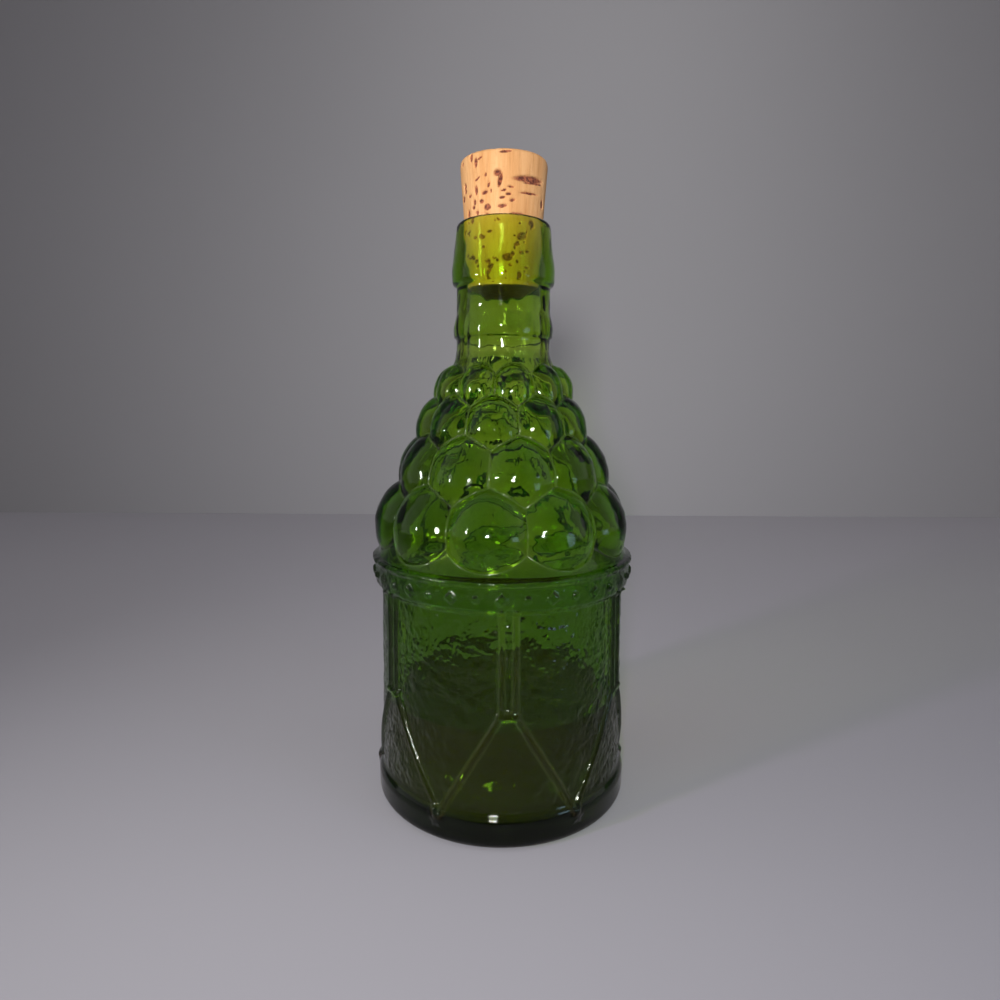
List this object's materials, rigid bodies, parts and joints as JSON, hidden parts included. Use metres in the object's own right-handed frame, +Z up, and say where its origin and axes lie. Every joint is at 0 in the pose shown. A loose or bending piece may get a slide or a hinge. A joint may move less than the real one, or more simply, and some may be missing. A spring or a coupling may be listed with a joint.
{
  "type": "bitters bottle",
  "caption": "Green moulded glass bitters bottle shaped as a drum with a pyramid of cannonballs, corked, with dark bitters in its foot.",
  "frame": {"origin": "centre of the foot, on the surface it stands on", "axes": "+Z up through the cork, -Y towards the front"},
  "size_m": [0.0938, 0.0938, 0.2228],
  "materials": {
    "green_glass": "glossy",
    "cork": "matte",
    "bitters": "glossy"
  },
  "bodies": {
    "root": {"bottle": "green_glass", "cork": "cork", "bitters": "bitters"}
  },
  "joints": []
}
